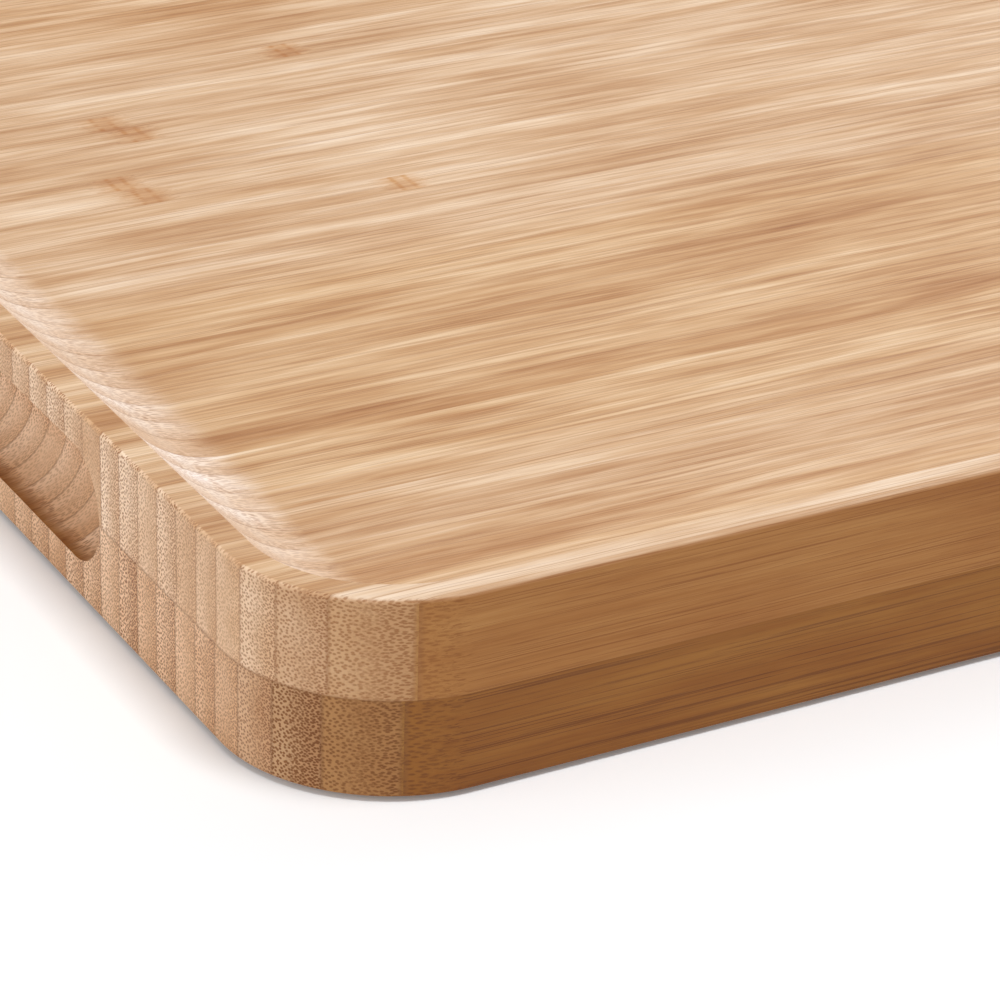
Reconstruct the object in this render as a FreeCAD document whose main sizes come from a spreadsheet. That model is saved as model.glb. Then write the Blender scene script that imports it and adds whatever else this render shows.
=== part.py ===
import FreeCAD, Part
import math
import os

import Sketcher

# A carving board glued up from two layers of bamboo strips that stand on edge.
# The glued blank is machined as one: rounded corners, an eased top edge, a dished
# well in the top and a ball-nosed finger grip in each short end. Every strip is a
# piece of its own, cut to its share of that machined form.
#
# Frame: millimetres, +Z up, origin at the centre of the base, the strips and the
# long sides along X, the finger grips in the two ends that face -X and +X.

SIZES = [
    ("board_length", 400.0, "overall length, along the strips"),
    ("board_height", 35.0, "overall height"),
    ("strip_width", 7.5, "one strip, from seam to seam"),
    ("strip_count", 41, "strips in each layer, with the two sawn ones at its sides"),
    ("corner_radius", 30.0, "the four outer corners, seen from above"),
    ("edge_round", 0.8, "easing of the outer top edge"),
    ("lower_layer_height", 17.3, "base to the glue line, the upper layer has the rest"),
    ("upper_first_seam", 1.6, "front face to the first seam of the upper layer"),
    ("lower_first_seam", 2.3, "front face to the first seam of the lower layer"),
    ("rim_width", 5.4, "flat rim left round the well"),
    ("well_depth", 9.0, "rim down to the floor of the well"),
    ("cove_radius", 22.5, "hollow curve from the rim down to the floor"),
    ("floor_corner_least", 0.5, "the tightest corner that the floor may have"),
    ("grip_length", 145.0, "finger grip, end to end"),
    ("grip_height", 21.5, "finger grip, lip to lip"),
    ("grip_depth", 10.3, "finger grip, end face to its deepest line"),
    ("cutter_overrun", 5.0, "how far a cutting form stands out of the wood"),
]

# Each end of the board with the side of the origin that it lies on.
BOARD_ENDS = {"left": -1, "right": 1}

VOLUME_TOLERANCE = 1e-6

doc = FreeCAD.newDocument("carving_board")


def make_sheet():
    """The driving sizes, one row each: name, value and what it measures."""
    sheet = doc.addObject("Spreadsheet::Sheet", "Sizes")
    for row, (alias, value, meaning) in enumerate(SIZES, start=1):
        sheet.set(f"A{row}", alias)
        sheet.set(f"B{row}", str(value))
        sheet.set(f"C{row}", meaning)
        sheet.setAlias(f"B{row}", alias)
    doc.recompute()
    return sheet


sheet = make_sheet()


def size(alias):
    """The value of one driving size."""
    return float(sheet.get(alias))


def bind(item, **expressions):
    """Tie properties to the sheet; a double underscore in a name stands for a dot."""
    for name, expression in expressions.items():
        item.setExpression(name.replace("__", "."), expression)


def origin_plane(body, role):
    """One of the body's own origin planes."""
    return next(plane for plane in body.Origin.OriginFeatures if plane.Role == role)


# The board is as wide as its strips make it. The sawn outline falls inside the first
# and the last strip of each layer, and what is left of the two makes one strip width.
BOARD_WIDTH = "((Sizes.strip_count - 1) * Sizes.strip_width)"

# The cove meets the floor as a tangent and the rim at a sharp edge. Its width seen
# from above follows from its radius and the depth of the well.
COVE_DROP = "min(Sizes.well_depth; Sizes.cove_radius)"
COVE_WIDTH = f"sqrt(2 * Sizes.cove_radius * {COVE_DROP} - {COVE_DROP}^2)"

# The well's form is a deep tray whose whole bottom edge is rounded to the cove's
# radius. Its upright walls stand outside the well's edge, above the wood.
TRAY_INSET = f"(Sizes.rim_width - Sizes.cove_radius + {COVE_WIDTH})"


def rounded_rectangle(body, name, length, width, radius):
    """A sketch of a rectangle with rounded corners, centred on the origin."""
    sketch = body.newObject("Sketcher::SketchObject", name)
    sketch.AttachmentSupport = [(origin_plane(body, "XY_Plane"), "")]
    sketch.MapMode = "FlatFace"

    # A start shape in the right order; the constraints below give it its sizes.
    half_x, half_y, corner = 60.0, 40.0, 10.0
    up = FreeCAD.Vector(0, 0, 1)
    middles = [(-1, -1), (1, -1), (1, 1), (-1, 1)]
    arcs = []
    for quarter, (side_x, side_y) in enumerate(middles):
        middle = FreeCAD.Vector(side_x * (half_x - corner), side_y * (half_y - corner), 0)
        start = math.pi + quarter * math.pi / 2
        circle = Part.Circle(middle, up, corner)
        arcs.append(sketch.addGeometry(Part.ArcOfCircle(circle, start, start + math.pi / 2)))
    sides = []
    for quarter in range(4):
        first = sketch.getPoint(arcs[quarter], 2)
        second = sketch.getPoint(arcs[(quarter + 1) % 4], 1)
        sides.append(sketch.addGeometry(Part.LineSegment(first, second)))

    for quarter in range(4):
        following = arcs[(quarter + 1) % 4]
        sketch.addConstraint(Sketcher.Constraint("Tangent", arcs[quarter], 2, sides[quarter], 1))
        sketch.addConstraint(Sketcher.Constraint("Tangent", sides[quarter], 2, following, 1))
        direction = "Horizontal" if quarter % 2 == 0 else "Vertical"
        sketch.addConstraint(Sketcher.Constraint(direction, sides[quarter]))
    for arc in arcs[1:]:
        sketch.addConstraint(Sketcher.Constraint("Equal", arcs[0], arc))
    sketch.addConstraint(Sketcher.Constraint("Symmetric", arcs[0], 3, arcs[2], 3, -1, 1))

    spans = [
        ("Radius", radius, Sketcher.Constraint("Radius", arcs[0], corner)),
        ("Length", length, Sketcher.Constraint("DistanceX", sides[3], 1, sides[1], 1, 2 * half_x)),
        ("Width", width, Sketcher.Constraint("DistanceY", sides[0], 1, sides[2], 1, 2 * half_y)),
    ]
    for label, expression, constraint in spans:
        index = sketch.addConstraint(constraint)
        sketch.renameConstraint(index, label)
        sketch.setExpression(f"Constraints.{label}", expression)
    return sketch


def pad(body, sketch, name, height):
    """A straight pad of the sketch upwards."""
    feature = body.newObject("PartDesign::Pad", name)
    feature.Profile = sketch
    bind(feature, Length=height)
    sketch.Visibility = False
    doc.recompute()
    return feature


def round_level_edges(body, base, name, level, radius):
    """Round every edge of the base that lies flat at one height."""
    tolerance = 1e-4
    edges = [
        f"Edge{number}"
        for number, edge in enumerate(base.Shape.Edges, start=1)
        if abs(edge.BoundBox.ZMin - level) < tolerance
        and abs(edge.BoundBox.ZMax - level) < tolerance
    ]
    feature = body.newObject("PartDesign::Fillet", name)
    feature.Base = (base, edges)
    bind(feature, Radius=radius)
    doc.recompute()
    return feature


def make_blank():
    """The glued-up plank, sawn to its outline and eased along its top edge."""
    body = doc.addObject("PartDesign::Body", "Blank")
    outline = rounded_rectangle(
        body,
        "BlankOutline",
        "Sizes.board_length",
        BOARD_WIDTH,
        "Sizes.corner_radius",
    )
    plank = pad(body, outline, "BlankPad", "Sizes.board_height")
    round_level_edges(body, plank, "TopEdge", size("board_height"), "Sizes.edge_round")
    return body


def make_well_form():
    """The cutting form of the well: a tray with a rounded bottom edge."""
    body = doc.addObject("PartDesign::Body", "WellForm")
    outline = rounded_rectangle(
        body,
        "TrayOutline",
        f"Sizes.board_length - 2 * {TRAY_INSET}",
        f"{BOARD_WIDTH} - 2 * {TRAY_INSET}",
        f"max(Sizes.corner_radius - {TRAY_INSET}; Sizes.cove_radius + Sizes.floor_corner_least)",
    )
    height = "Sizes.cove_radius + Sizes.well_depth + Sizes.cutter_overrun"
    tray = pad(body, outline, "TrayPad", height)
    round_level_edges(body, tray, "TrayCove", 0.0, "Sizes.cove_radius")
    bind(body, Placement__Base__z="Sizes.board_height - Sizes.well_depth")
    return body


def make_grip_form(end, side):
    """The cutting form of one finger grip: the path of a ball-nosed cutter.

    The cutter's axis lies along X at mid height. It stands in the end face as deep
    as the grip and travels along Y, so the grip has a round back and round ends.
    """
    radius = "Sizes.grip_height / 2"
    half_run = "(Sizes.grip_length - Sizes.grip_height) / 2"
    ball_x = f"{side} * (Sizes.board_length / 2 - Sizes.grip_depth + {radius})"
    middle_z = "Sizes.board_height / 2"
    reach = "Sizes.grip_depth + Sizes.cutter_overrun"
    outwards = FreeCAD.Rotation(FreeCAD.Vector(0, 1, 0), side * 90)
    along_y = FreeCAD.Rotation(FreeCAD.Vector(1, 0, 0), -90)

    back = doc.addObject("Part::Cylinder", f"GripBack_{end}")
    back.Placement.Rotation = along_y
    bind(back, Radius=radius, Height=f"2 * {half_run}")
    bind(back, Placement__Base__x=ball_x, Placement__Base__y=f"-{half_run}")
    bind(back, Placement__Base__z=middle_z)

    mouth = doc.addObject("Part::Box", f"GripMouth_{end}")
    bind(mouth, Length=reach, Width=f"2 * {half_run}", Height="Sizes.grip_height")
    mouth_x = ball_x if side > 0 else f"{ball_x} - ({reach})"
    bind(mouth, Placement__Base__x=mouth_x, Placement__Base__y=f"-{half_run}")
    bind(mouth, Placement__Base__z=f"{middle_z} - {radius}")

    pieces = [back, mouth]
    for travel, sign in (("front", -1), ("rear", 1)):
        ball = doc.addObject("Part::Sphere", f"GripBall_{end}_{travel}")
        bind(ball, Radius=radius)
        shank = doc.addObject("Part::Cylinder", f"GripShank_{end}_{travel}")
        shank.Placement.Rotation = outwards
        bind(shank, Radius=radius, Height=reach)
        for piece in (ball, shank):
            bind(piece, Placement__Base__x=ball_x, Placement__Base__z=middle_z)
            bind(piece, Placement__Base__y=f"{sign} * {half_run}")
            pieces.append(piece)

    form = doc.addObject("Part::MultiFuse", f"GripForm_{end}")
    form.Shapes = pieces
    return form


def make_machined_form():
    """The whole board's outside form, before it is shared out among the strips."""
    blank = make_blank()
    cutters = doc.addObject("Part::MultiFuse", "Cutters")
    grips = [make_grip_form(end, side) for end, side in BOARD_ENDS.items()]
    cutters.Shapes = [make_well_form()] + grips
    form = doc.addObject("Part::Cut", "MachinedForm")
    form.Base = blank
    form.Tool = cutters
    doc.recompute()
    if form.Shape.Volume >= blank.Shape.Volume:
        raise RuntimeError("the well and the grips cut nothing")
    return form


class Layer:
    """One layer of strips, between two heights, with its own first seam."""

    def __init__(self, name, first_seam, base, height):
        self.name = name
        self.first_seam = first_seam
        self.base = base
        self.height = height

    def make_strip(self, form, number):
        """One strip: its share of the machined form. Number 1 lies at the front."""
        title = f"{self.name.capitalize()}Strip{number:02d}"
        stock = doc.addObject("Part::Box", f"{title}Stock")
        bind(stock, Length="Sizes.board_length", Width="Sizes.strip_width", Height=self.height)
        bind(stock, Placement__Base__x="-Sizes.board_length / 2", Placement__Base__z=self.base)
        front = f"Sizes.{self.first_seam} + {number - 2} * Sizes.strip_width"
        bind(stock, Placement__Base__y=f"{front} - {BOARD_WIDTH} / 2")
        strip = doc.addObject("Part::Common", title)
        strip.Base = form
        strip.Tool = stock
        strip.Label = f"{self.name}_strip_{number:02d}"
        return strip

    def make_strips(self, form):
        """Every strip of the layer by its number, front to rear."""
        numbers = range(1, int(size("strip_count")) + 1)
        return {number: self.make_strip(form, number) for number in numbers}


UPPER = Layer(
    "upper",
    "upper_first_seam",
    "Sizes.lower_layer_height",
    "Sizes.board_height - Sizes.lower_layer_height",
)
LOWER = Layer("lower", "lower_first_seam", "0", "Sizes.lower_layer_height")

# Lower strips that are cut alike, by number: clear of the corners and the grips, or
# along the straight run of both grips. Each set is one node of separate solids.
ALIKE_LOWER_STRIPS = {
    "front": range(6, 12),
    "middle": range(14, 29),
    "rear": range(32, 37),
}


def make_nodes(form):
    """The upper strips and the unlike lower strips singly, the alike ones in sets."""
    upper = UPPER.make_strips(form)
    lower = LOWER.make_strips(form)
    sets = []
    for name, numbers in ALIKE_LOWER_STRIPS.items():
        group = doc.addObject("Part::Compound", f"LowerStrips_{name}")
        group.Links = [lower.pop(number) for number in numbers]
        group.Label = f"lower_strips_{name}"
        sets.append(group)
    doc.recompute()
    return list(upper.values()) + list(lower.values()) + sets


def check(form, nodes):
    """Stop if any object failed, or if the strips don't fill the machined form."""
    for item in doc.Objects:
        if "Invalid" in item.State or "Error" in item.State:
            raise RuntimeError(f"{item.Label} failed: {item.State}")
    for node in nodes:
        if node.Shape.isNull() or not node.Shape.isValid() or not node.Shape.Solids:
            raise RuntimeError(f"{node.Label} has no sound shape")
    filled = sum(node.Shape.Volume for node in nodes)
    if abs(filled - form.Shape.Volume) > VOLUME_TOLERANCE * form.Shape.Volume:
        raise RuntimeError("the strips don't add up to the board")


def write(nodes):
    """One STEP file for each node, named by its label."""
    os.makedirs("parts", exist_ok=True)
    for node in nodes:
        node.Shape.exportStep(f"parts/{node.Label}.step")
        print(f"{node.Label}: {len(node.Shape.Solids)} solids, {node.Shape.Volume:.1f} mm3")


machined_form = make_machined_form()
strips = make_nodes(machined_form)
check(machined_form, strips)
write(strips)
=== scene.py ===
import logging
import math
import random
from dataclasses import dataclass, field
from enum import Enum
from typing import Dict, List, Optional, Sequence, Tuple, Union

import bmesh
import bpy
from mathutils import Matrix, Vector


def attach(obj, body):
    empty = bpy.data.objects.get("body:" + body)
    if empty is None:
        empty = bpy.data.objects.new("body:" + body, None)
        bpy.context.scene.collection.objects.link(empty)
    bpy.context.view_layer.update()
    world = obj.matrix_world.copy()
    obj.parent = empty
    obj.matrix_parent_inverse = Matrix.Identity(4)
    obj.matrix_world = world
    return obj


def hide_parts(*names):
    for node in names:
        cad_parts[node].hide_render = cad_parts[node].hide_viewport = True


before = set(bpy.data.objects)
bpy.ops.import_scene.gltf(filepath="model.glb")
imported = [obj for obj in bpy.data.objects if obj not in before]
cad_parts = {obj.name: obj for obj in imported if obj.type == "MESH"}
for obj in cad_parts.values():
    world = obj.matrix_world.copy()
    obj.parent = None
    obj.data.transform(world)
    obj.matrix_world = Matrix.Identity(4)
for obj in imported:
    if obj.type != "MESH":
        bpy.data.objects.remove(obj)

log = logging.getLogger("carving_board")

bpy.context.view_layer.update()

MM = 0.001
AXIS_X, AXIS_Y, AXIS_Z = 0, 1, 2
SLIVER = 1e-7
MIDDLE = 0.5
LEVEL = 0.999

Colour = Tuple[float, float, float]
Place = Tuple[float, float, float]
Cell = Tuple[float, float, float]
Span = Tuple[float, float]


# Shader tools


class Value:
    """A socket that carries one number; arithmetic on it adds Math nodes."""

    def __init__(self, graph: "Graph", socket: bpy.types.NodeSocket) -> None:
        """Keep the socket and the graph that new nodes go to."""
        self.graph = graph
        self.socket = socket

    def maths(self, operation: str, *terms: "Number") -> "Value":
        """One Math node.

        Args:
            operation: the Math node's operation.
            terms: its inputs in order, numbers or values.

        Returns:
            The node's result.
        """
        sockets = dict(enumerate(terms))
        return self.graph.value("ShaderNodeMath", {"operation": operation}, sockets)

    def __add__(self, other: "Number") -> "Value":
        """This value plus another."""
        return self.maths("ADD", self, other)

    def __radd__(self, other: "Number") -> "Value":
        """A number plus this value."""
        return self.maths("ADD", other, self)

    def __sub__(self, other: "Number") -> "Value":
        """This value less another."""
        return self.maths("SUBTRACT", self, other)

    def __rsub__(self, other: "Number") -> "Value":
        """A number less this value."""
        return self.maths("SUBTRACT", other, self)

    def __mul__(self, other: "Number") -> "Value":
        """This value times another."""
        return self.maths("MULTIPLY", self, other)

    def __rmul__(self, other: "Number") -> "Value":
        """A number times this value."""
        return self.maths("MULTIPLY", other, self)

    def __truediv__(self, other: "Number") -> "Value":
        """This value over another."""
        return self.maths("DIVIDE", self, other)

    def __pow__(self, other: "Number") -> "Value":
        """This value to a power."""
        return self.maths("POWER", self, other)

    def __abs__(self) -> "Value":
        """The value without its sign."""
        return self.maths("ABSOLUTE", self)

    def least(self, other: "Number") -> "Value":
        """The lower of two values."""
        return self.maths("MINIMUM", self, other)

    def most(self, other: "Number") -> "Value":
        """The higher of two values."""
        return self.maths("MAXIMUM", self, other)

    def ramp(self, start: "Number", end: "Number") -> "Value":
        """A smooth step from 0 to 1.

        Args:
            start: where the step begins; it may be above the end.
            end: where it is complete.

        Returns:
            The stepped value.
        """
        settings = {"interpolation_type": "SMOOTHSTEP"}
        sockets = {0: self, 1: start, 2: end, 3: 0.0, 4: 1.0}
        return self.graph.value("ShaderNodeMapRange", settings, sockets)


Number = Union[float, Value]


class Graph:
    """The node tree of one material or of the world."""

    def __init__(self, tree: bpy.types.NodeTree) -> None:
        """Start from an empty tree."""
        self.tree = tree
        tree.nodes.clear()

    def add(
        self,
        kind: str,
        settings: Optional[Dict[str, object]] = None,
        sockets: Optional[Dict[Union[int, str], object]] = None,
    ) -> bpy.types.Node:
        """Any node.

        Args:
            kind: the node's type.
            settings: its settings, which are made before its sockets are filled.
            sockets: a constant, a value or a socket for each input, by name or place.

        Returns:
            The node.
        """
        node = self.tree.nodes.new(kind)
        for name, setting in (settings or {}).items():
            setattr(node, name, setting)
        for name, given in (sockets or {}).items():
            if isinstance(given, Value):
                self.tree.links.new(given.socket, node.inputs[name])
            elif isinstance(given, bpy.types.NodeSocket):
                self.tree.links.new(given, node.inputs[name])
            else:
                node.inputs[name].default_value = given
        return node

    def value(
        self,
        kind: str,
        settings: Optional[Dict[str, object]] = None,
        sockets: Optional[Dict[Union[int, str], object]] = None,
        output: Union[int, str] = 0,
    ) -> Value:
        """A node's output as a number to work on.

        Args:
            kind: the node's type.
            settings: its settings.
            sockets: what its inputs take.
            output: the output, by name or place.

        Returns:
            The output as a value.
        """
        return Value(self, self.add(kind, settings, sockets).outputs[output])

    def point(self, x: Number, y: Number, z: Number) -> bpy.types.NodeSocket:
        """Three numbers as one vector."""
        return self.add("ShaderNodeCombineXYZ", None, {0: x, 1: y, 2: z}).outputs[0]

    def split(self, vector: bpy.types.NodeSocket) -> List[Value]:
        """A vector's three numbers."""
        node = self.add("ShaderNodeSeparateXYZ", None, {0: vector})
        return [Value(self, output) for output in node.outputs]

    def attribute(self, name: str) -> Value:
        """A number that the mesh carries."""
        return self.value("ShaderNodeAttribute", {"attribute_name": name}, None, "Fac")

    def noise(
        self, place: bpy.types.NodeSocket, detail: float, roughness: float
    ) -> bpy.types.Node:
        """Smooth noise with features about one unit across.

        Args:
            place: where it is read.
            detail: how many finer layers it has.
            roughness: how strong the finer layers are.

        Returns:
            The noise node.
        """
        sockets = {"Vector": place, "Scale": 1.0, "Detail": detail, "Roughness": roughness}
        return self.add("ShaderNodeTexNoise", {"noise_dimensions": "3D"}, sockets)

    def cells(
        self,
        place: Sequence[Number],
        cell: Cell,
        shift: Number,
        detail: float = 2.0,
        roughness: float = 0.5,
    ) -> bpy.types.Node:
        """Smooth noise drawn out to patches of a given size.

        Args:
            place: where it is read.
            cell: a patch's size along, across and up the board.
            shift: how far the pattern is moved along, in patches.
            detail: how many finer layers it has.
            roughness: how strong the finer layers are.

        Returns:
            The noise node.
        """
        x, y, z = place
        along, across, up = cell
        return self.noise(self.point(x / along + shift, y / across, z / up), detail, roughness)

    def cell_value(
        self,
        place: Sequence[Number],
        cell: Cell,
        shift: Number,
        detail: float = 2.0,
        roughness: float = 0.5,
    ) -> Value:
        """The same noise as one number; the arguments are those of cells."""
        return Value(self, self.cells(place, cell, shift, detail, roughness).outputs[0])

    def seen(self) -> Value:
        """1 for what the camera sees, straight, reflected or through glass."""
        path = self.add("ShaderNodeLightPath")
        camera = Value(self, path.outputs["Is Camera Ray"])
        camera = camera.most(Value(self, path.outputs["Is Glossy Ray"]))
        return camera.most(Value(self, path.outputs["Is Transmission Ray"]))

    def mix(
        self, share: Number, first: object, second: object, blend: str = "MIX"
    ) -> bpy.types.NodeSocket:
        """Two colours mixed.

        Args:
            share: how much of the second.
            first: a colour or a colour socket.
            second: a colour or a colour socket.
            blend: how they are mixed.

        Returns:
            The mixed colour.
        """
        settings = {"data_type": "RGBA", "blend_type": blend, "clamp_result": False}
        sockets = {0: share, 6: opaque(first), 7: opaque(second)}
        return self.add("ShaderNodeMix", settings, sockets).outputs[2]


def opaque(colour: object) -> object:
    """A colour with its alpha, or the socket that was given."""
    return (*colour, 1.0) if isinstance(colour, tuple) else colour


# Bamboo


@dataclass(frozen=True)
class StripPoint:
    """What a finish reads at one point of a strip. Lengths are millimetres.

    facing, upward and downward say how squarely the surface faces along the strips, up
    and down. across runs from 0 at the strip's front seam to 1 at its rear one. sunk is
    1 in the well. The sheen share is painted sheen on the strip's upper faces, and the
    others are the strip's own traits.
    """

    graph: Graph
    x: Value
    y: Value
    z: Value
    facing: Value
    upward: Value
    downward: Value
    across: Value
    seed: Value
    tone: Value
    density: Value
    node: Value
    pale: Value
    painted_sheen: Value
    sunk: Value


@dataclass(frozen=True)
class Grain:
    """The wood's pattern at one point, before it is coloured.

    hair, band and cloud are noise, from fine to broad. lines are the dark hairlines and
    dots the ends of fibre bundles. dense is 1 where bundles lie close and cut_across 1
    on end grain. node_band is a culm node's smudge and node_core its rings.
    """

    hair: Value
    band: Value
    cloud: Value
    lines: Value
    dots: Value
    dense: Value
    cut_across: Value
    node_band: Value
    node_core: Value


@dataclass(frozen=True)
class BambooFinish:
    """The looks of one layer's bamboo, oiled and sanded smooth.

    Colours are linear and lengths are millimetres. A cell is the size of one patch of
    noise along, across and up the board. A span is where a smooth step starts and
    where it is complete.
    """

    name: str
    ground: Colour
    # The upward faces' colour: the wood's own, whitened by painted sheen.
    top_ground_and_sheen: Colour
    fibre: Colour
    end_ground: Colour
    end_fibre: Colour
    # The cove colour: pale cut grain whitened further by painted sheen; the grips and sheen
    # shares take it too.
    cove_grain_and_sheen: Colour
    node: Colour
    seam: Colour
    strip_width: float
    half_length: float
    height: float
    layer_line: float

    # How far bundles wander sideways, and how far they bow on upward faces.
    sway: float = 0.6
    sway_cell: Cell = (70.0, 14.0, 11.0)
    bow: float = 3.0

    # Bundles: two spacings, and how near to a bundle's centre its dot starts.
    fine_pitch: float = 0.47
    coarse_pitch: float = 0.62
    coarse_shift: float = 9.0
    fine_dot: Span = (0.52, 0.24)
    coarse_dot: Span = (0.45, 0.2)
    dense_wander: float = 0.4
    dense_side: Span = (0.8, 0.05)
    bundle_scatter: float = 0.75
    long_grain_dots: float = 0.25
    dot_floor: float = 0.45
    dot_hair: float = 1.1

    # Culm nodes: a ragged smudge with two thin rings, round which the fibres swerve.
    ragged_cell: Cell = (7.0, 1.1, 1.1)
    ragged_reach: float = 9.0
    smudge: Span = (6.5, 0.5)
    ring_radius: float = 1.5
    ring_line: Span = (0.9, 0.1)
    ring_gaps: Span = (0.35, 0.55)
    swerve_across: float = 0.35
    swerve_up: float = 0.5
    smudge_share: float = 0.5
    ring_share: float = 0.3

    # Hairlines, the broader veins, and the slow changes of tone.
    hair_cell: Cell = (13.0, 0.2, 0.2)
    hair_line: Span = (0.58, 0.66)
    hair_share: float = 0.6
    vein_cell: Cell = (100.0, 0.3, 0.3)
    vein_line: Span = (0.575, 0.61)
    vein_share: float = 0.8
    band_cell: Cell = (32.0, 1.9, 1.9)
    cloud_cell: Cell = (60.0, 9.0, 9.0)
    cloud_shift: float = 5.0
    line_fade: float = 0.75

    # Cut faces: end grain, the undersides of hollows, the cove's wall and the grips. The cove's
    # wall is pale cut grain with painted sheen, the grips' lower insides take painted sheen, and
    # upward faces near the top are a little paler.
    end_grain: Span = (0.03, 0.4)
    end_face: Span = (0.0, 0.45)
    under_face: Span = (0.1, 0.7)
    under_fade: float = 0.6
    cove_reach: Span = (25.5, 16.0)
    cove_floor: float = 0.58
    cove_wall: float = 0.32
    cove_slope: Span = (0.99, 0.8)
    grip_sheen_rise: Span = (0.1, 0.55)
    grip_sheen_end: Span = (1.0, 0.9)
    grip_sheen_top: Span = (30.0, 29.0)
    near_top_below: Span = (0.8, 0.1)
    near_top_share: float = 0.05
    top_face: Span = (0.5, 0.98)

    # How strongly each pattern shows in the colour.
    dot_share: float = 0.85
    dot_cove_fade: float = 0.45
    line_share: float = 0.85
    line_top_fade: float = 0.4
    end_calm: float = 0.6
    cove_calm: float = 0.55
    top_liveliness: float = 0.25
    band_share: float = 0.35
    band_top_share: float = 0.4
    cloud_share: float = 0.7
    hair_tone: float = 0.3
    dense_tone: float = 0.02
    dense_end_tone: float = 0.1
    green_fall: float = 1.7
    blue_fall: float = 2.6

    # Seams, relief and gloss.
    seam_width: float = 0.45
    seam_core: float = 0.04
    seam_share: float = 0.08
    seam_end_share: float = 0.34
    dot_relief: float = -0.5
    hair_relief: float = 0.35
    line_relief: float = 0.3
    seam_relief: float = 0.4
    bump: float = 0.3
    bump_height: float = 0.00012
    roughness: float = 0.46
    hair_roughness: float = 0.1
    dot_roughness: float = 0.05
    specular: float = 0.26

    def material(self) -> bpy.types.Material:
        """The finish as a material.

        Returns:
            The new material.
        """
        material = bpy.data.materials.new(self.name)
        material.use_nodes = True
        graph = Graph(material.node_tree)
        point = self.read_point(graph)
        grain = self.read_grain(point)
        seam = self.seams(point)
        end = self.end_share(point)
        # The share of the pale cove colour: cut grain with painted sheen.
        pale_and_sheen = self.pale_grain_and_sheen_share(point, end)
        wood = self.coloured(point, grain, end, pale_and_sheen)
        wood = self.toned(point, grain, pale_and_sheen, wood)
        seam_strength = seam * (self.seam_share + grain.cut_across * self.seam_end_share)
        wood = graph.mix(seam_strength, wood, self.seam)

        relief = grain.dots * self.dot_relief + grain.hair * self.hair_relief
        relief = relief - grain.lines * self.line_relief - seam * self.seam_relief
        bump = graph.add("ShaderNodeBump", None, {
            "Strength": self.bump, "Distance": self.bump_height, "Height": relief,
        })
        roughness = self.roughness + (grain.hair - MIDDLE) * self.hair_roughness
        shader = graph.add("ShaderNodeBsdfPrincipled", None, {
            "Base Color": wood,
            "Roughness": roughness + grain.dots * self.dot_roughness,
            "Normal": bump.outputs[0],
            "Specular IOR Level": self.specular,
        })
        graph.add("ShaderNodeOutputMaterial", None, {"Surface": shader.outputs[0]})
        return material

    def read_point(self, graph: Graph) -> StripPoint:
        """The place, the direction and the strip's traits at one point.

        Args:
            graph: the material's nodes.

        Returns:
            What the other steps read.
        """
        coordinates = graph.add("ShaderNodeTexCoord")
        sockets = {0: coordinates.outputs["Object"], "Scale": 1.0 / MM}
        scaled = graph.add("ShaderNodeVectorMath", {"operation": "SCALE"}, sockets)
        x, y, z = graph.split(scaled.outputs[0])
        normal = graph.split(coordinates.outputs["Normal"])
        return StripPoint(
            graph=graph,
            x=x,
            y=y,
            z=z,
            facing=abs(normal[AXIS_X]),
            upward=normal[AXIS_Z].most(0.0),
            downward=-1.0 * normal[AXIS_Z],
            across=(y - graph.attribute("strip_front")) / self.strip_width,
            seed=graph.attribute("strip_seed"),
            tone=graph.attribute("strip_tone"),
            density=graph.attribute("strip_density"),
            node=graph.attribute("strip_node"),
            pale=graph.attribute("strip_pale"),
            painted_sheen=graph.attribute("strip_painted_sheen"),
            sunk=graph.attribute("sunk"),
        )

    def read_grain(self, point: StripPoint) -> Grain:
        """The pattern of fibres at one point.

        Args:
            point: where it is read.

        Returns:
            The pattern.
        """
        graph, seed = point.graph, point.seed
        place = (point.x, point.y, point.z)
        sway_noise = graph.cells(place, self.sway_cell, seed)
        sway_y, sway_z, sway_bow = [
            part - MIDDLE for part in graph.split(sway_noise.outputs["Color"])
        ]
        bow = sway_bow * self.bow * point.upward

        ragged = graph.cell_value(place, self.ragged_cell, seed)
        from_node = point.x - point.node
        node_band = abs(from_node + (ragged - MIDDLE) * self.ragged_reach).ramp(*self.smudge)
        rings = abs(abs(from_node + bow) - self.ring_radius).ramp(*self.ring_line)

        bundle_y = point.y + sway_y * self.sway + node_band * self.swerve_across + bow
        bundle_z = point.z + sway_z * self.sway + node_band * self.swerve_up
        fine = self.bundles(graph, bundle_y, bundle_z, seed, self.fine_pitch)
        coarse_seed = seed + self.coarse_shift
        coarse = self.bundles(graph, bundle_y, bundle_z, coarse_seed, self.coarse_pitch)
        fine_dots, coarse_dots = fine.ramp(*self.fine_dot), coarse.ramp(*self.coarse_dot)
        dense = (point.across + sway_bow * self.dense_wander).ramp(*self.dense_side)

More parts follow.
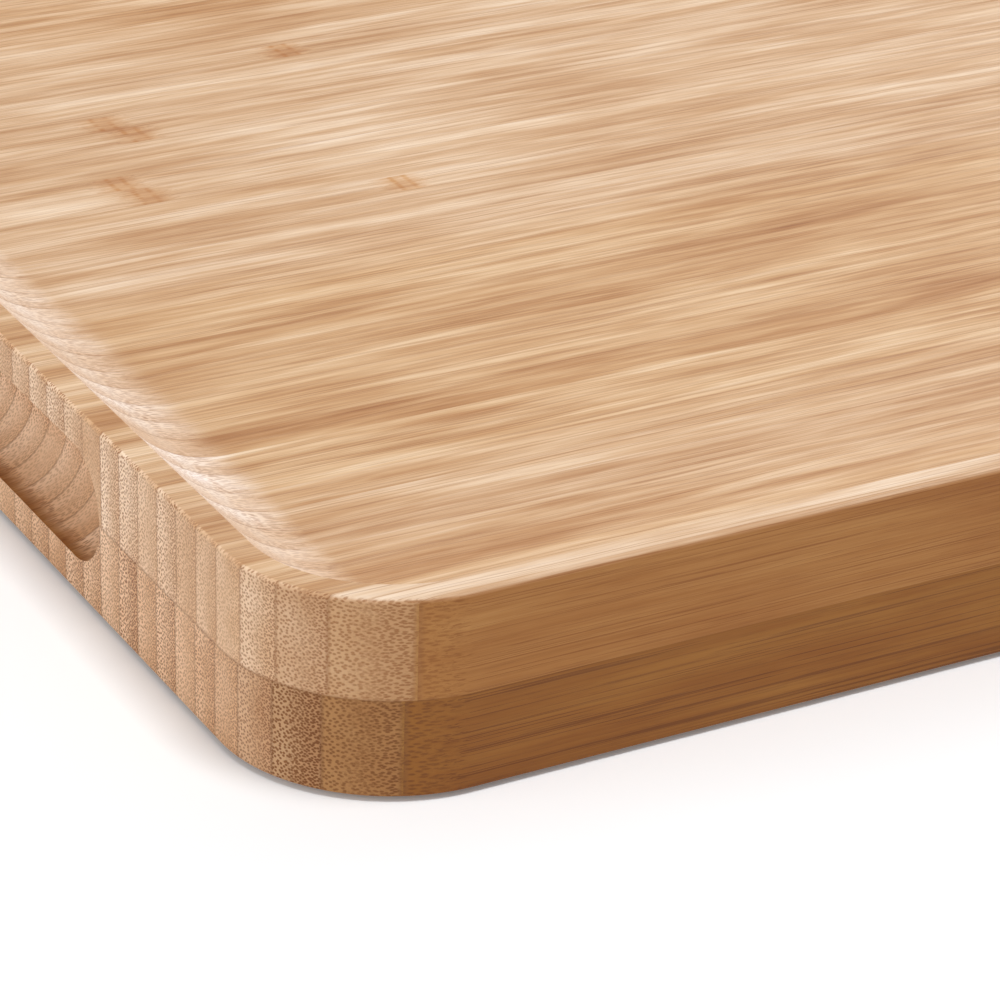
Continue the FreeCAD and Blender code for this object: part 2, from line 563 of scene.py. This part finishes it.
        bundle = (point.x, bundle_y, bundle_z)
        hair = graph.cell_value(bundle, self.hair_cell, seed, 2.0, 0.6)
        vein = graph.cell_value(bundle, self.vein_cell, seed * -1.0, 2.0, 0.6)
        cut_across = point.facing.ramp(*self.end_grain)
        lines = hair.ramp(*self.hair_line) * self.hair_share
        lines = lines + vein.ramp(*self.vein_line) * self.vein_share
        dots = (coarse_dots + (fine_dots - coarse_dots) * dense) * point.density
        dots = dots * (self.long_grain_dots + (1.0 - self.long_grain_dots) * cut_across)
        return Grain(
            hair=hair,
            band=graph.cell_value(bundle, self.band_cell, seed, 3.0, 0.6),
            cloud=graph.cell_value(place, self.cloud_cell, self.cloud_shift),
            lines=lines * (1.0 - cut_across * self.line_fade),
            dots=dots * (self.dot_floor + self.dot_hair * hair),
            dense=dense,
            cut_across=cut_across,
            node_band=node_band,
            node_core=rings * ragged.ramp(*self.ring_gaps),
        )

    def end_share(self, point: StripPoint) -> Value:
        """How much a point shows pale end grain."""
        under = point.downward.ramp(*self.under_face)
        return point.facing.ramp(*self.end_face) * point.pale * (1.0 - under * self.under_fade)

    def pale_grain_and_sheen_share(self, point: StripPoint, end: Value) -> Value:
        """How much a point takes the pale cove colour: pale cut grain with painted sheen in the
        cove, painted sheen on upper faces and in the grips, and a paler rim top.

        Args:
            point: where it is read.
            end: how much the point shows end grain.

        Returns:
            The share, 0 to 1.
        """
        upward = point.upward
        # The end coves take the pale colour, more where they are steep: pale cut grain with
        # painted sheen.
        wall = point.sunk * (self.half_length - abs(point.x)).ramp(*self.cove_reach)
        steep = self.cove_floor + self.cove_wall * upward.ramp(*self.cove_slope)
        # The grips' lower insides, tilted up and below the top, are paled with painted sheen.
        grip_sheen = end * upward.ramp(*self.grip_sheen_rise) * upward.ramp(*self.grip_sheen_end)
        grip_sheen = grip_sheen * point.z.ramp(*self.grip_sheen_top)
        # Upward faces in the last 0.8 mm below the top are a little paler.
        near_top_from, near_top_full = (self.height - below for below in self.near_top_below)
        near_top = upward * point.z.ramp(near_top_from, near_top_full) * self.near_top_share
        # Strips with a sheen share get painted sheen on their upward faces.
        return (wall * steep).most(point.painted_sheen * upward).most(grip_sheen).most(near_top)

    def coloured(
        self, point: StripPoint, grain: Grain, end: Value, pale_and_sheen: Value
    ) -> bpy.types.NodeSocket:
        """The wood's colour with its dots, lines and nodes, before its tone; upward faces, the
        cove and the grips carry painted sheen in it.

        Args:
            point: where it is read.
            grain: the pattern there.
            end: how much the point shows end grain.
            pale_and_sheen: how much it takes the pale cove colour, cut grain with painted sheen.

        Returns:
            The colour.
        """
        graph, upward = point.graph, point.upward
        # Upward faces take a paler, whiter colour: painted sheen over the wood's own.
        ground = graph.mix(upward.ramp(*self.top_face), self.ground, self.top_ground_and_sheen)
        ground = graph.mix(end, ground, self.end_ground)
        ground = graph.mix(pale_and_sheen, ground, self.cove_grain_and_sheen)
        fibres = graph.mix(end.most(pale_and_sheen), self.fibre, self.end_fibre)
        dots = grain.dots * (self.dot_share - pale_and_sheen * self.dot_cove_fade)
        wood = graph.mix(dots, ground, fibres)
        lines = grain.lines.least(1.0) * (self.line_share - upward * self.line_top_fade)
        wood = graph.mix(lines, wood, fibres)
        node = grain.node_band * self.smudge_share + grain.node_core * self.ring_share
        return graph.mix(node.least(1.0), wood, self.node)

    def toned(
        self, point: StripPoint, grain: Grain, pale_and_sheen: Value, wood: bpy.types.NodeSocket
    ) -> bpy.types.NodeSocket:
        """The colour made lighter or darker, darker parts being redder.

        Args:
            point: where it is read.
            grain: the pattern there.
            pale_and_sheen: how much the point takes the pale cove colour, cut grain with painted
                sheen.
            wood: the colour before its tone.

        Returns:
            The colour.
        """
        graph, upward = point.graph, point.upward
        calm = (1.0 - grain.cut_across * self.end_calm) * (1.0 - pale_and_sheen * self.cove_calm)
        calm = calm * (1.0 + upward * self.top_liveliness)
        shade = (grain.band - MIDDLE) * (self.band_share + self.band_top_share * upward)
        shade = shade + (grain.cloud - MIDDLE) * self.cloud_share
        shade = shade + (grain.hair - MIDDLE) * self.hair_tone
        dense_tone = self.dense_tone + self.dense_end_tone * grain.cut_across
        shade = 1.0 + point.tone + shade * calm - grain.dense * dense_tone * point.density
        level = graph.point(shade, shade ** self.green_fall, shade ** self.blue_fall)
        return graph.mix(1.0, wood, level, "MULTIPLY")

    def seams(self, point: StripPoint) -> Value:
        """How near a point is to a glue line.

        Args:
            point: where it is read.

        Returns:
            The nearness, 1 on the line.
        """
        to_seam = point.across.least(1.0 - point.across) * self.strip_width
        to_glue = abs(point.z - self.layer_line)
        line = (self.seam_width, self.seam_core)
        return to_seam.ramp(*line).most(to_glue.ramp(*line))

    def bundles(self, graph: Graph, y: Value, z: Value, seed: Value, pitch: float) -> Value:
        """How far each point is from its fibre bundle, in bundle pitches.

        Args:
            graph: the material's nodes.
            y: place across the strips.
            z: place up the board.
            seed: sets one strip's pattern apart from the next.
            pitch: the distance between bundles.

        Returns:
            The distance, 0 at a bundle's centre.
        """
        slant = pitch * math.sqrt(2.0)
        place = graph.point((y + z) / slant + seed, (y - z) / slant + seed, 0.0)
        settings = {"voronoi_dimensions": "2D", "feature": "F1"}
        sockets = {"Vector": place, "Scale": 1.0, "Randomness": self.bundle_scatter}
        return graph.value("ShaderNodeTexVoronoi", settings, sockets, "Distance")


# The board


class Layer(Enum):
    """The two layers of strips, named as their nodes and slots are."""

    UPPER = "upper"
    LOWER = "lower"


@dataclass(frozen=True)
class BoardSizes:
    """The machined board's sizes in metres, as the CAD source gives them."""

    length: float = 400.0 * MM
    width: float = 300.0 * MM
    height: float = 35.0 * MM
    corner_radius: float = 30.0 * MM
    edge_round: float = 0.8 * MM
    layer_line: float = 17.3 * MM
    strip_width: float = 7.5 * MM
    strip_count: int = 41
    upper_first_seam: float = 1.6 * MM
    lower_first_seam: float = 2.3 * MM
    rim_width: float = 5.4 * MM
    well_depth: float = 9.0 * MM
    cove_radius: float = 22.5 * MM
    grip_length: float = 145.0 * MM
    grip_height: float = 21.5 * MM
    grip_depth: float = 10.3 * MM


def add_piece(name: str, mesh: bmesh.types.BMesh) -> bpy.types.Object:
    """A mesh as a new object of the scene, at the origin.

    Args:
        name: the object's name.
        mesh: what it is made of; it is freed.

    Returns:
        The new object.
    """
    data = bpy.data.meshes.new(name)
    mesh.to_mesh(data)
    mesh.free()
    piece = bpy.data.objects.new(name, data)
    bpy.context.scene.collection.objects.link(piece)
    return piece


def keep_below(mesh: bmesh.types.BMesh, axis: int, level: float, side: int) -> None:
    """Saws off what lies past a plane and closes the cut.

    Args:
        mesh: the closed mesh to saw.
        axis: the axis that the plane is square to.
        level: where the plane lies on it.
        side: 1 to saw off what lies above the level, -1 what lies below.
    """
    place, direction = Vector(), Vector()
    place[axis], direction[axis] = level, side
    cut = bmesh.ops.bisect_plane(
        mesh,
        geom=mesh.verts[:] + mesh.edges[:] + mesh.faces[:],
        dist=SLIVER,
        plane_co=place,
        plane_no=direction,
        clear_outer=True,
    )
    rim = [item for item in cut["geom_cut"] if isinstance(item, bmesh.types.BMEdge)]
    if rim:
        bmesh.ops.holes_fill(mesh, edges=rim, sides=0)


@dataclass
class MachinedForm:
    """The board's outside form, before it is shared out among the strips.

    arris and foot ease the brim of the well and the bottom edge. land_support is the
    narrow ring of the rim that the brim's easing is cut from.
    """

    sizes: BoardSizes
    corner_steps: int = 48
    edge_steps: int = 6
    cove_steps: int = 40
    grip_steps: int = 96
    easing_steps: int = 3
    arris: float = 0.16 * MM
    foot: float = 0.4 * MM
    land_support: float = 0.35 * MM

    def build(self) -> bmesh.types.BMesh:
        """The blank with its well and its two finger grips cut.

        Returns:
            One closed mesh.
        """
        board = add_piece("machined_form", self.dished_blank())
        cutters = [self.cut_grip(board, side) for side in (-1, 1)]
        graph = bpy.context.evaluated_depsgraph_get()
        mesh = bmesh.new()
        mesh.from_object(board, graph)
        for item in (board, *cutters):
            data = item.data
            bpy.data.objects.remove(item)
            bpy.data.meshes.remove(data)
        return mesh

    def dished_blank(self) -> bmesh.types.BMesh:
        """The plank with rounded corners, an eased top edge and the dished well.

        Returns:
            One closed mesh.
        """
        sizes = self.sizes
        mesh = bmesh.new()
        bmesh.ops.create_cube(mesh, size=1.0)
        bmesh.ops.scale(mesh, vec=(sizes.length, sizes.width, sizes.height), verts=mesh.verts)
        bmesh.ops.translate(mesh, vec=(0.0, 0.0, sizes.height / 2), verts=mesh.verts)
        upright = [e for e in mesh.edges if e.verts[0].co.xy == e.verts[1].co.xy]
        self.round_edges(mesh, upright, sizes.corner_radius, self.corner_steps)
        self.round_edges(mesh, self.top_face(mesh).edges[:], sizes.edge_round, self.edge_steps)

        land = sizes.rim_width - sizes.edge_round
        self.inset_top(mesh, land - self.land_support, 0.0)
        self.inset_top(mesh, self.land_support, 0.0)
        brim = self.top_face(mesh).edges[:]
        drop = sizes.cove_radius - sizes.well_depth
        steepest = math.acos(drop / sizes.cove_radius)
        angles = [steepest * (1 - step / self.cove_steps) for step in range(self.cove_steps + 1)]
        for upper, lower in zip(angles, angles[1:]):
            inwards = sizes.cove_radius * (math.sin(upper) - math.sin(lower))
            down = sizes.cove_radius * (math.cos(lower) - math.cos(upper))
            self.inset_top(mesh, inwards, -down)
        self.round_edges(mesh, brim, self.arris, self.easing_steps)
        bottom = min(mesh.faces, key=lambda face: face.calc_center_median().z)
        self.round_edges(mesh, bottom.edges[:], self.foot, self.easing_steps)
        return mesh

    def round_edges(
        self, mesh: bmesh.types.BMesh, edges: List[bmesh.types.BMEdge], radius: float, steps: int
    ) -> None:
        """Rounds edges.

        Args:
            mesh: the mesh they belong to.
            edges: the edges.
            radius: how far back from the edge the rounding starts.
            steps: how many faces the rounding has.
        """
        bmesh.ops.bevel(
            mesh,
            geom=edges,
            offset=radius,
            offset_type="OFFSET",
            segments=steps,
            profile=0.5,
            affect="EDGES",
            material=-1,
        )

    def top_face(self, mesh: bmesh.types.BMesh) -> bmesh.types.BMFace:
        """The broad level face that the well is sunk from."""
        return max(
            (face for face in mesh.faces if face.normal.z > LEVEL),
            key=lambda face: face.calc_area(),
        )

    def inset_top(self, mesh: bmesh.types.BMesh, inwards: float, upwards: float) -> None:
        """Draws the top face's edge in and moves the face up or down.

        Args:
            mesh: the board.
            inwards: how far the edge moves in.
            upwards: how far the face moves up.
        """
        bmesh.ops.inset_region(
            mesh,
            faces=[self.top_face(mesh)],
            thickness=inwards,
            depth=upwards,
            use_even_offset=True,
            use_boundary=True,
        )

    def cut_grip(self, board: bpy.types.Object, side: int) -> bpy.types.Object:
        """Gives the board a cut by one round-ended cutter path.

        Args:
            board: the board.
            side: -1 for the left end, 1 for the right end.

        Returns:
            The cutting form.
        """
        sizes = self.sizes
        radius = sizes.grip_height / 2
        mesh = bmesh.new()
        bmesh.ops.create_uvsphere(
            mesh, u_segments=self.grip_steps, v_segments=self.grip_steps // 2 + 1, radius=radius
        )
        quarter_turn = Matrix.Rotation(math.pi / 2, 3, "X")
        bmesh.ops.rotate(mesh, matrix=quarter_turn, verts=mesh.verts)
        reach = sizes.grip_length / 2 - radius
        for end in (-1, 1):
            half = [vert for vert in mesh.verts if vert.co.y * end > 0]
            bmesh.ops.translate(mesh, vec=(0.0, end * reach, 0.0), verts=half)
        axis_x = side * (sizes.length / 2 - sizes.grip_depth + radius)
        bmesh.ops.translate(mesh, vec=(axis_x, 0.0, sizes.height / 2), verts=mesh.verts)
        bmesh.ops.recalc_face_normals(mesh, faces=mesh.faces)
        cutter = add_piece(f"grip_cutter_{side}", mesh)
        cut = board.modifiers.new(cutter.name, "BOOLEAN")
        cut.operation, cut.solver, cut.object = "DIFFERENCE", "EXACT", cutter
        return cutter


# A place along the board, in millimetres, that no strip reaches. Nodes drawn at random
# fall anywhere up to it on either side, so that few of them lie on the board.
NO_NODE = 900.0

# Strips of the lower layer that are cut alike and share a node, by their place.
SHARED_STRIPS = {"front": range(6, 12), "middle": range(14, 29), "rear": range(32, 37)}

# The mean and spread of a strip's tone, and the range of its fibres' strength.
USUAL_TONE: Span = (0.0, 0.05)
USUAL_DENSITY: Span = (0.6, 1.1)

# What a strip's number and its layer's seed add to the place where its pattern is read.
SEED_STEP, SEED_SHIFT = 3.7, 0.31


@dataclass(frozen=True)
class StripTraits:
    """What sets one strip apart.

    tone is how much lighter it is than usual, density how strong its fibres show, node
    where its culm node lies along the board, pale how pale its end grain is cut, and
    the sheen share how much painted sheen whitens its upper face.
    """

    tone: float
    density: float
    node: float = NO_NODE
    pale: float = 1.0
    painted_sheen: float = 0.0


@dataclass
class StripStack:
    """One layer of strips, cut from the machined form.

    The usual sheen share is how much painted sheen whitens the upper face of a strip
    that has no traits of its own.
    """

    layer: Layer
    sizes: BoardSizes
    finish: BambooFinish
    traits: Dict[int, StripTraits]
    seed: int
    usual_painted_sheen: float = 0.0
    sharp_angle: float = math.radians(26.0)
    strips: List[bpy.types.Object] = field(default_factory=list)

    @property
    def heights(self) -> Span:
        """The layer's lowest and highest level."""
        line = self.sizes.layer_line
        return (0.0, line) if self.layer is Layer.LOWER else (line, self.sizes.height)

    @property
    def first_seam(self) -> float:
        """The y of the seam between the first two strips."""
        inset = {
            Layer.UPPER: self.sizes.upper_first_seam,
            Layer.LOWER: self.sizes.lower_first_seam,
        }[self.layer]
        return inset - self.sizes.width / 2

    def node_of(self, number: int) -> str:
        """The CAD node that one strip belongs to.

        Args:
            number: the strip's number, 1 at the front.

        Returns:
            The node's name.
        """
        single = f"{self.layer.value}_strip_{number:02d}"
        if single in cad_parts:
            return single
        place = next(name for name, numbers in SHARED_STRIPS.items() if number in numbers)
        return f"{self.layer.value}_strips_{place}"

    def build(self, form: bmesh.types.BMesh) -> None:
        """Cuts, dresses and places every strip.

        Args:
            form: the machined board; it isn't changed.
        """
        material = self.finish.material()
        draw = random.Random(self.seed)
        layer_form = form.copy()
        low, high = self.heights
        if self.layer is Layer.UPPER:
            keep_below(layer_form, AXIS_Z, low, -1)
        else:
            keep_below(layer_form, AXIS_Z, high, 1)
        for number in range(1, self.sizes.strip_count + 1):
            usual = StripTraits(
                tone=draw.gauss(*USUAL_TONE),
                density=draw.uniform(*USUAL_DENSITY),
                node=draw.uniform(-NO_NODE, NO_NODE),
                painted_sheen=self.usual_painted_sheen,
            )
            traits = self.traits.get(number, usual)
            self.strips.append(self.cut_strip(layer_form, number, traits, material))
        layer_form.free()
        log.info("%s layer: %d strips", self.layer.value, len(self.strips))

    def cut_strip(
        self,
        layer_form: bmesh.types.BMesh,
        number: int,
        traits: StripTraits,
        material: bpy.types.Material,
    ) -> bpy.types.Object:
        """One strip, in its place.

        Args:
            layer_form: the layer before it is cut up.
            number: the strip's number, 1 at the front.
            traits: what sets it apart.
            material: the layer's finish.

        Returns:
            The strip.
        """
        front = self.first_seam + (number - 2) * self.sizes.strip_width
        mesh = layer_form.copy()
        if number > 1:
            keep_below(mesh, AXIS_Y, front, -1)
        if number < self.sizes.strip_count:
            keep_below(mesh, AXIS_Y, front + self.sizes.strip_width, 1)
        bmesh.ops.recalc_face_normals(mesh, faces=mesh.faces)
        for face in mesh.faces:
            face.smooth = True
        for edge in mesh.edges:
            edge.smooth = edge.calc_face_angle(math.pi) < self.sharp_angle

        name = f"bamboo_{self.layer.value}_{number:02d}"
        strip = add_piece(name, mesh)
        strip.data.materials.append(material)
        marks = {
            "strip_front": front / MM,
            "strip_seed": SEED_STEP * number + SEED_SHIFT * self.seed,
            "strip_tone": traits.tone,
            "strip_density": traits.density,
            "strip_node": traits.node,
            "strip_pale": traits.pale,
            "strip_painted_sheen": traits.painted_sheen,
        }
        points = len(strip.data.vertices)
        for mark, given in marks.items():
            self.mark(strip, mark, [given] * points)
        self.mark(strip, "sunk", self.in_well(strip))
        weighted = strip.modifiers.new("weighted_normals", "WEIGHTED_NORMAL")
        weighted.keep_sharp = True

        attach(strip, "root")
        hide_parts(self.node_of(number))
        log.info("%s: tone %.2f, density %.2f", name, traits.tone, traits.density)
        return strip

    def mark(self, strip: bpy.types.Object, name: str, numbers: List[float]) -> None:
        """Gives every point of a strip a number that its finish reads.

        Args:
            strip: the strip.
            name: the attribute's name.
            numbers: one number for each point.
        """
        points = strip.data.attributes.new(name, "FLOAT", "POINT")
        points.data.foreach_set("value", numbers)

    def in_well(self, strip: bpy.types.Object) -> List[float]:
        """Which points of a strip lie in the well.

        Args:
            strip: the strip.

        Returns:
            For each point 1 in the well and 0 elsewhere.
        """
        sizes = self.sizes
        floor = sizes.height - sizes.well_depth - SLIVER
        brim = sizes.rim_width + MM / 2
        corner = sizes.corner_radius
        half = Vector((sizes.length / 2 - corner, sizes.width / 2 - corner))
        numbers = []
        for vertex in strip.data.vertices:
            out = Vector((abs(vertex.co.x) - half.x, abs(vertex.co.y) - half.y))
            round_out = math.hypot(max(out.x, 0.0), max(out.y, 0.0)) + min(max(out.x, out.y), 0.0)
            numbers.append(float(vertex.co.z >= floor and corner - round_out > brim))
        return numbers


# The set


@dataclass(frozen=True)
class Lamp:
    """A broad soft lamp aimed at the board.

    place is where it hangs, breadth the side of its square face and power its watts.
    """

    name: str
    place: Place
    breadth: float
    power: float

    def build(self) -> None:
        """Adds the lamp."""
        light = bpy.data.lights.new(self.name, "AREA")
        light.size = self.breadth
        light.energy = self.power
        lamp = bpy.data.objects.new(self.name, light)
        bpy.context.scene.collection.objects.link(lamp)
        lamp.location = self.place
        lamp.rotation_mode = "QUATERNION"
        lamp.rotation_quaternion = (-Vector(self.place)).to_track_quat("-Z", "Y")


@dataclass(frozen=True)
class Studio:
    """The plain floor, the soft light and the white background.

    floor_glow is what the floor adds where the camera sees it, and floor_drop how far
    it lies below the board, which leaves a thin dark line under the edge.
    """

    floor_reach: float = 6.0
    floor_paint: Colour = (0.95, 0.96, 0.975)
    floor_glow: float = 0.12
    floor_drop: float = 0.9 * MM
    floor_roughness: float = 0.9
    sky_light: float = 0.35
    sky_seen: float = 1.0
    lamps: Tuple[Lamp, ...] = (
        Lamp("key", (-0.03, -0.35, 1.5), 0.4, 12.0),
        Lamp("back", (1.2, 0.6, 0.95), 1.2, 7.0),
        Lamp("side", (-1.6, 0.0, 0.4), 1.2, 7.5),
    )

    def build(self) -> None:
        """Adds the floor, the world and the lamps."""
        self.add_floor()
        self.light_world()
        for lamp in self.lamps:
            lamp.build()
        log.info("studio: floor, world and %d soft lamps", len(self.lamps))

    def add_floor(self) -> None:
        """The floor, white where the camera sees it unshaded."""
        mesh = bmesh.new()
        bmesh.ops.create_grid(mesh, x_segments=1, y_segments=1, size=self.floor_reach)
        bmesh.ops.translate(mesh, vec=(0.0, 0.0, -self.floor_drop), verts=mesh.verts)
        floor = add_piece("studio_floor", mesh)
        material = bpy.data.materials.new("studio_floor_paint")
        material.use_nodes = True
        graph = Graph(material.node_tree)
        paint = graph.add("ShaderNodeBsdfPrincipled", None, {
            "Base Color": opaque(self.floor_paint),
            "Roughness": self.floor_roughness,
            "Specular IOR Level": 0.0,
        })
        glow = graph.add("ShaderNodeEmission", None, {"Strength": self.floor_glow})
        bright = graph.add("ShaderNodeAddShader", None, {0: paint.outputs[0], 1: glow.outputs[0]})
        shown = graph.add("ShaderNodeMixShader", None, {
            0: graph.seen(), 1: paint.outputs[0], 2: bright.outputs[0],
        })
        graph.add("ShaderNodeOutputMaterial", None, {"Surface": shown.outputs[0]})
        floor.data.materials.append(material)

    def light_world(self) -> None:
        """A dim even sky that shows white to the camera and in reflections."""
        world = bpy.data.worlds.new("studio_sky")
        world.use_nodes = True
        bpy.context.scene.world = world
        graph = Graph(world.node_tree)
        skies = [
            graph.add("ShaderNodeBackground", None, {
                "Color": (1.0, 1.0, 1.0, 1.0), "Strength": strength,
            }).outputs[0]
            for strength in (self.sky_light, self.sky_seen)
        ]
        shown = graph.add("ShaderNodeMixShader", None, {
            0: graph.seen(), 1: skies[0], 2: skies[1],
        })
        graph.add("ShaderNodeOutputWorld", None, {"Surface": shown.outputs[0]})


@dataclass(frozen=True)
class Viewpoint:
    """The camera: close over the front left corner, looking down and to the right."""

    place: Place = (-0.448, -0.6512, 0.3391)
    azimuth: float = math.radians(29.29)
    dip: float = math.radians(26.70)
    roll: float = math.radians(1.57)
    focal_length: float = 151.6
    sensor: float = 36.0

    def build(self) -> None:
        """Adds the camera and makes it the scene's."""
        level = math.cos(self.dip)
        ahead = Vector((
            math.sin(self.azimuth) * level, math.cos(self.azimuth) * level, -math.sin(self.dip)
        ))
        right = Vector((math.cos(self.azimuth), -math.sin(self.azimuth), 0.0))
        up = right.cross(ahead)
        turn = Matrix.Rotation(-self.roll, 3, ahead)
        axes = Matrix((turn @ right, turn @ up, -ahead)).transposed()
        camera = bpy.data.cameras.new("photo_camera")
        camera.lens, camera.sensor_width = self.focal_length, self.sensor
        holder = bpy.data.objects.new("photo_camera", camera)
        bpy.context.scene.collection.objects.link(holder)
        holder.matrix_world = Matrix.Translation(self.place) @ axes.to_4x4()
        bpy.context.scene.camera = holder
        log.info("camera: %.1f mm lens", self.focal_length)


UPPER_FINISH = BambooFinish(
    name="upper_bamboo_oiled",
    ground=(0.49, 0.214, 0.057),
    # The top and cove colours carry painted sheen.
    top_ground_and_sheen=(0.66, 0.402, 0.205),
    fibre=(0.30, 0.10, 0.022),
    end_ground=(0.895, 0.62, 0.40),
    end_fibre=(0.38, 0.16, 0.062),
    cove_grain_and_sheen=(0.94, 0.76, 0.62),
    node=(0.46, 0.17, 0.025),
    seam=(0.32, 0.13, 0.045),
    strip_width=BoardSizes.strip_width / MM,
    half_length=BoardSizes.length / MM / 2,
    height=BoardSizes.height / MM,
    layer_line=BoardSizes.layer_line / MM,
)

LOWER_FINISH = BambooFinish(
    name="lower_bamboo_oiled",
    ground=(0.355, 0.134, 0.022),
    top_ground_and_sheen=(0.355, 0.134, 0.022),
    fibre=(0.18, 0.055, 0.01),
    end_ground=(0.86, 0.545, 0.322),
    end_fibre=(0.29, 0.11, 0.038),
    cove_grain_and_sheen=(0.90, 0.61, 0.39),
    node=(0.28, 0.10, 0.02),
    seam=(0.22, 0.09, 0.03),
    strip_width=BoardSizes.strip_width / MM,
    half_length=BoardSizes.length / MM / 2,
    height=BoardSizes.height / MM,
    layer_line=BoardSizes.layer_line / MM,
)

# Rows may give a sheen share: painted sheen that whitens the strip's upper face.
# A strip's tone, then how strong its fibres show; strip 1 is at the front.
UPPER_TRAITS = {
    1: StripTraits(-0.03, 0.8, pale=0.0, painted_sheen=0.25),
    2: StripTraits(0.16, 0.85, pale=0.23, painted_sheen=0.17),
    3: StripTraits(0.06, 0.9, pale=0.5, painted_sheen=0.07),
    4: StripTraits(0.04, 0.9, pale=0.9, painted_sheen=0.04),
    5: StripTraits(-0.05, 0.6, painted_sheen=0.1),
    6: StripTraits(-0.07, 0.7, painted_sheen=0.12),
    7: StripTraits(-0.08, 0.8, painted_sheen=0.16),
    8: StripTraits(0.05, 1.1, painted_sheen=0.1),
    9: StripTraits(0.01, 0.8, painted_sheen=0.06),
    10: StripTraits(0.11, 1.1),
    11: StripTraits(0.09, 1.1),
    12: StripTraits(-0.13, 0.6),
    13: StripTraits(0.0, 0.9),
    14: StripTraits(0.06, 1.2),
    15: StripTraits(0.02, 1.0),
    16: StripTraits(-0.03, 0.9),
    17: StripTraits(-0.06, 0.9),
    18: StripTraits(-0.02, 0.9),
    19: StripTraits(0.0, 0.8),
    20: StripTraits(0.03, 0.8, painted_sheen=0.06),
    27: StripTraits(0.05, 0.6, node=-144.8, painted_sheen=0.14),
    30: StripTraits(0.05, 0.6, node=-131.5, painted_sheen=0.14),
    31: StripTraits(0.04, 0.6, node=-135.1, painted_sheen=0.14),
}

LOWER_TRAITS = {
    1: StripTraits(0.0, 0.8, pale=0.0),
    2: StripTraits(0.2, 1.0, pale=0.1),
    3: StripTraits(0.26, 1.9, pale=0.24),
    4: StripTraits(0.02, 0.9, pale=0.67),
    5: StripTraits(-0.03, 0.8, pale=0.9),
    6: StripTraits(-0.01, 1.0),
    7: StripTraits(0.02, 0.8),
    8: StripTraits(0.04, 1.2),
    9: StripTraits(0.01, 0.9),
    10: StripTraits(0.03, 1.5),
    11: StripTraits(0.07, 0.9),
    12: StripTraits(0.06, 1.1),
    13: StripTraits(0.06, 1.2),
    14: StripTraits(-0.09, 0.8),
    15: StripTraits(-0.04, 1.0),
}


def main() -> None:
    """Builds the board, the studio and the camera, in that order."""
    logging.basicConfig(level=logging.INFO, format="%(name)s: %(message)s")
    bpy.context.scene.view_settings.view_transform = "Standard"
    sizes = BoardSizes()
    form = MachinedForm(sizes).build()
    layers = (
        # Upper strips without traits of their own get a little painted sheen on their upper
        # faces.
        StripStack(Layer.UPPER, sizes, UPPER_FINISH, UPPER_TRAITS, seed=11, usual_painted_sheen=0.13),
        StripStack(Layer.LOWER, sizes, LOWER_FINISH, LOWER_TRAITS, seed=23),
    )
    for layer in layers:
        layer.build(form)
    form.free()
    Studio().build()
    Viewpoint().build()


if __name__ == "__main__":
    main()
